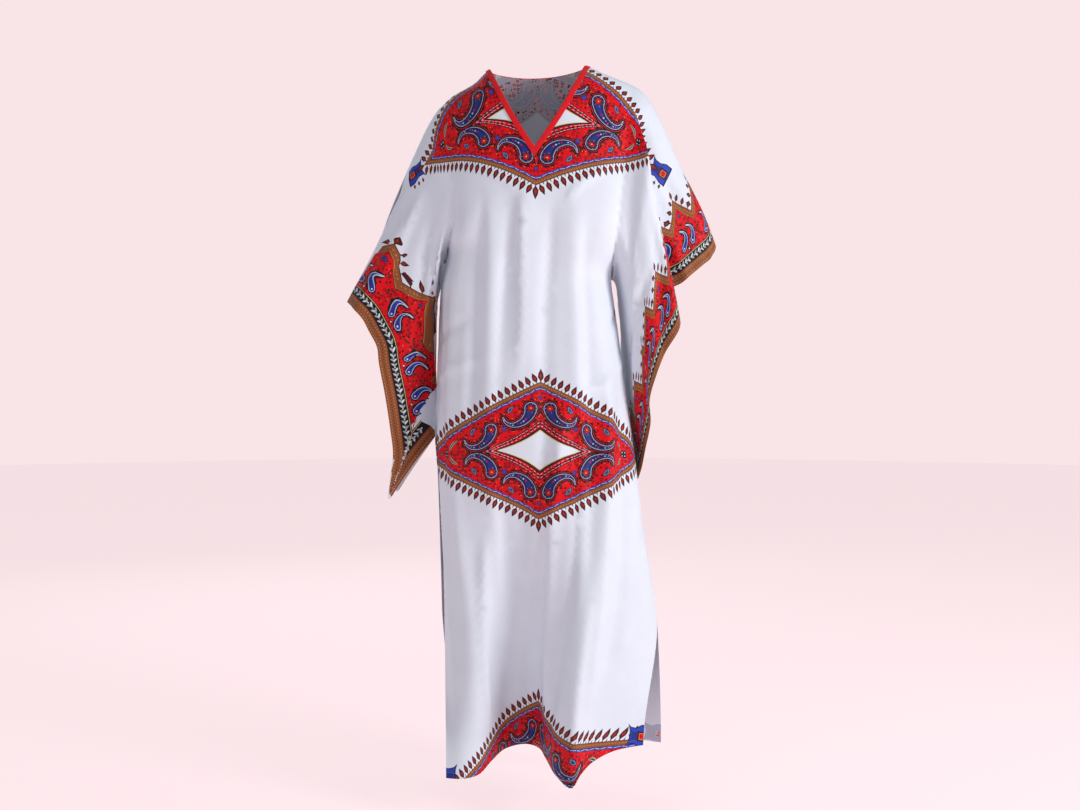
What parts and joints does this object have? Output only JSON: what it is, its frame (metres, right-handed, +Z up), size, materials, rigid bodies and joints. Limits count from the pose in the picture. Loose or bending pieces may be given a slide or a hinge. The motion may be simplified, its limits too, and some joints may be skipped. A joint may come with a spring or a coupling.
{
  "type": "kaftan",
  "caption": "Full-length white kaftan with wing sleeves, a V neck in a red binding and paisley border prints, hanging as worn.",
  "frame": {"origin": "middle of the shoulder line at the neck, where the wearer's shoulders carry the garment", "axes": "+Z up, -Y towards the front of the garment, +X towards the wearer's left"},
  "size_m": [0.759, 0.3155, 1.4148],
  "materials": {
    "printed_cloth": "soft satin",
    "bias_binding": "matte"
  },
  "bodies": {
    "root": {"front": "printed_cloth", "back": "printed_cloth", "neck_binding": "bias_binding"}
  },
  "joints": []
}
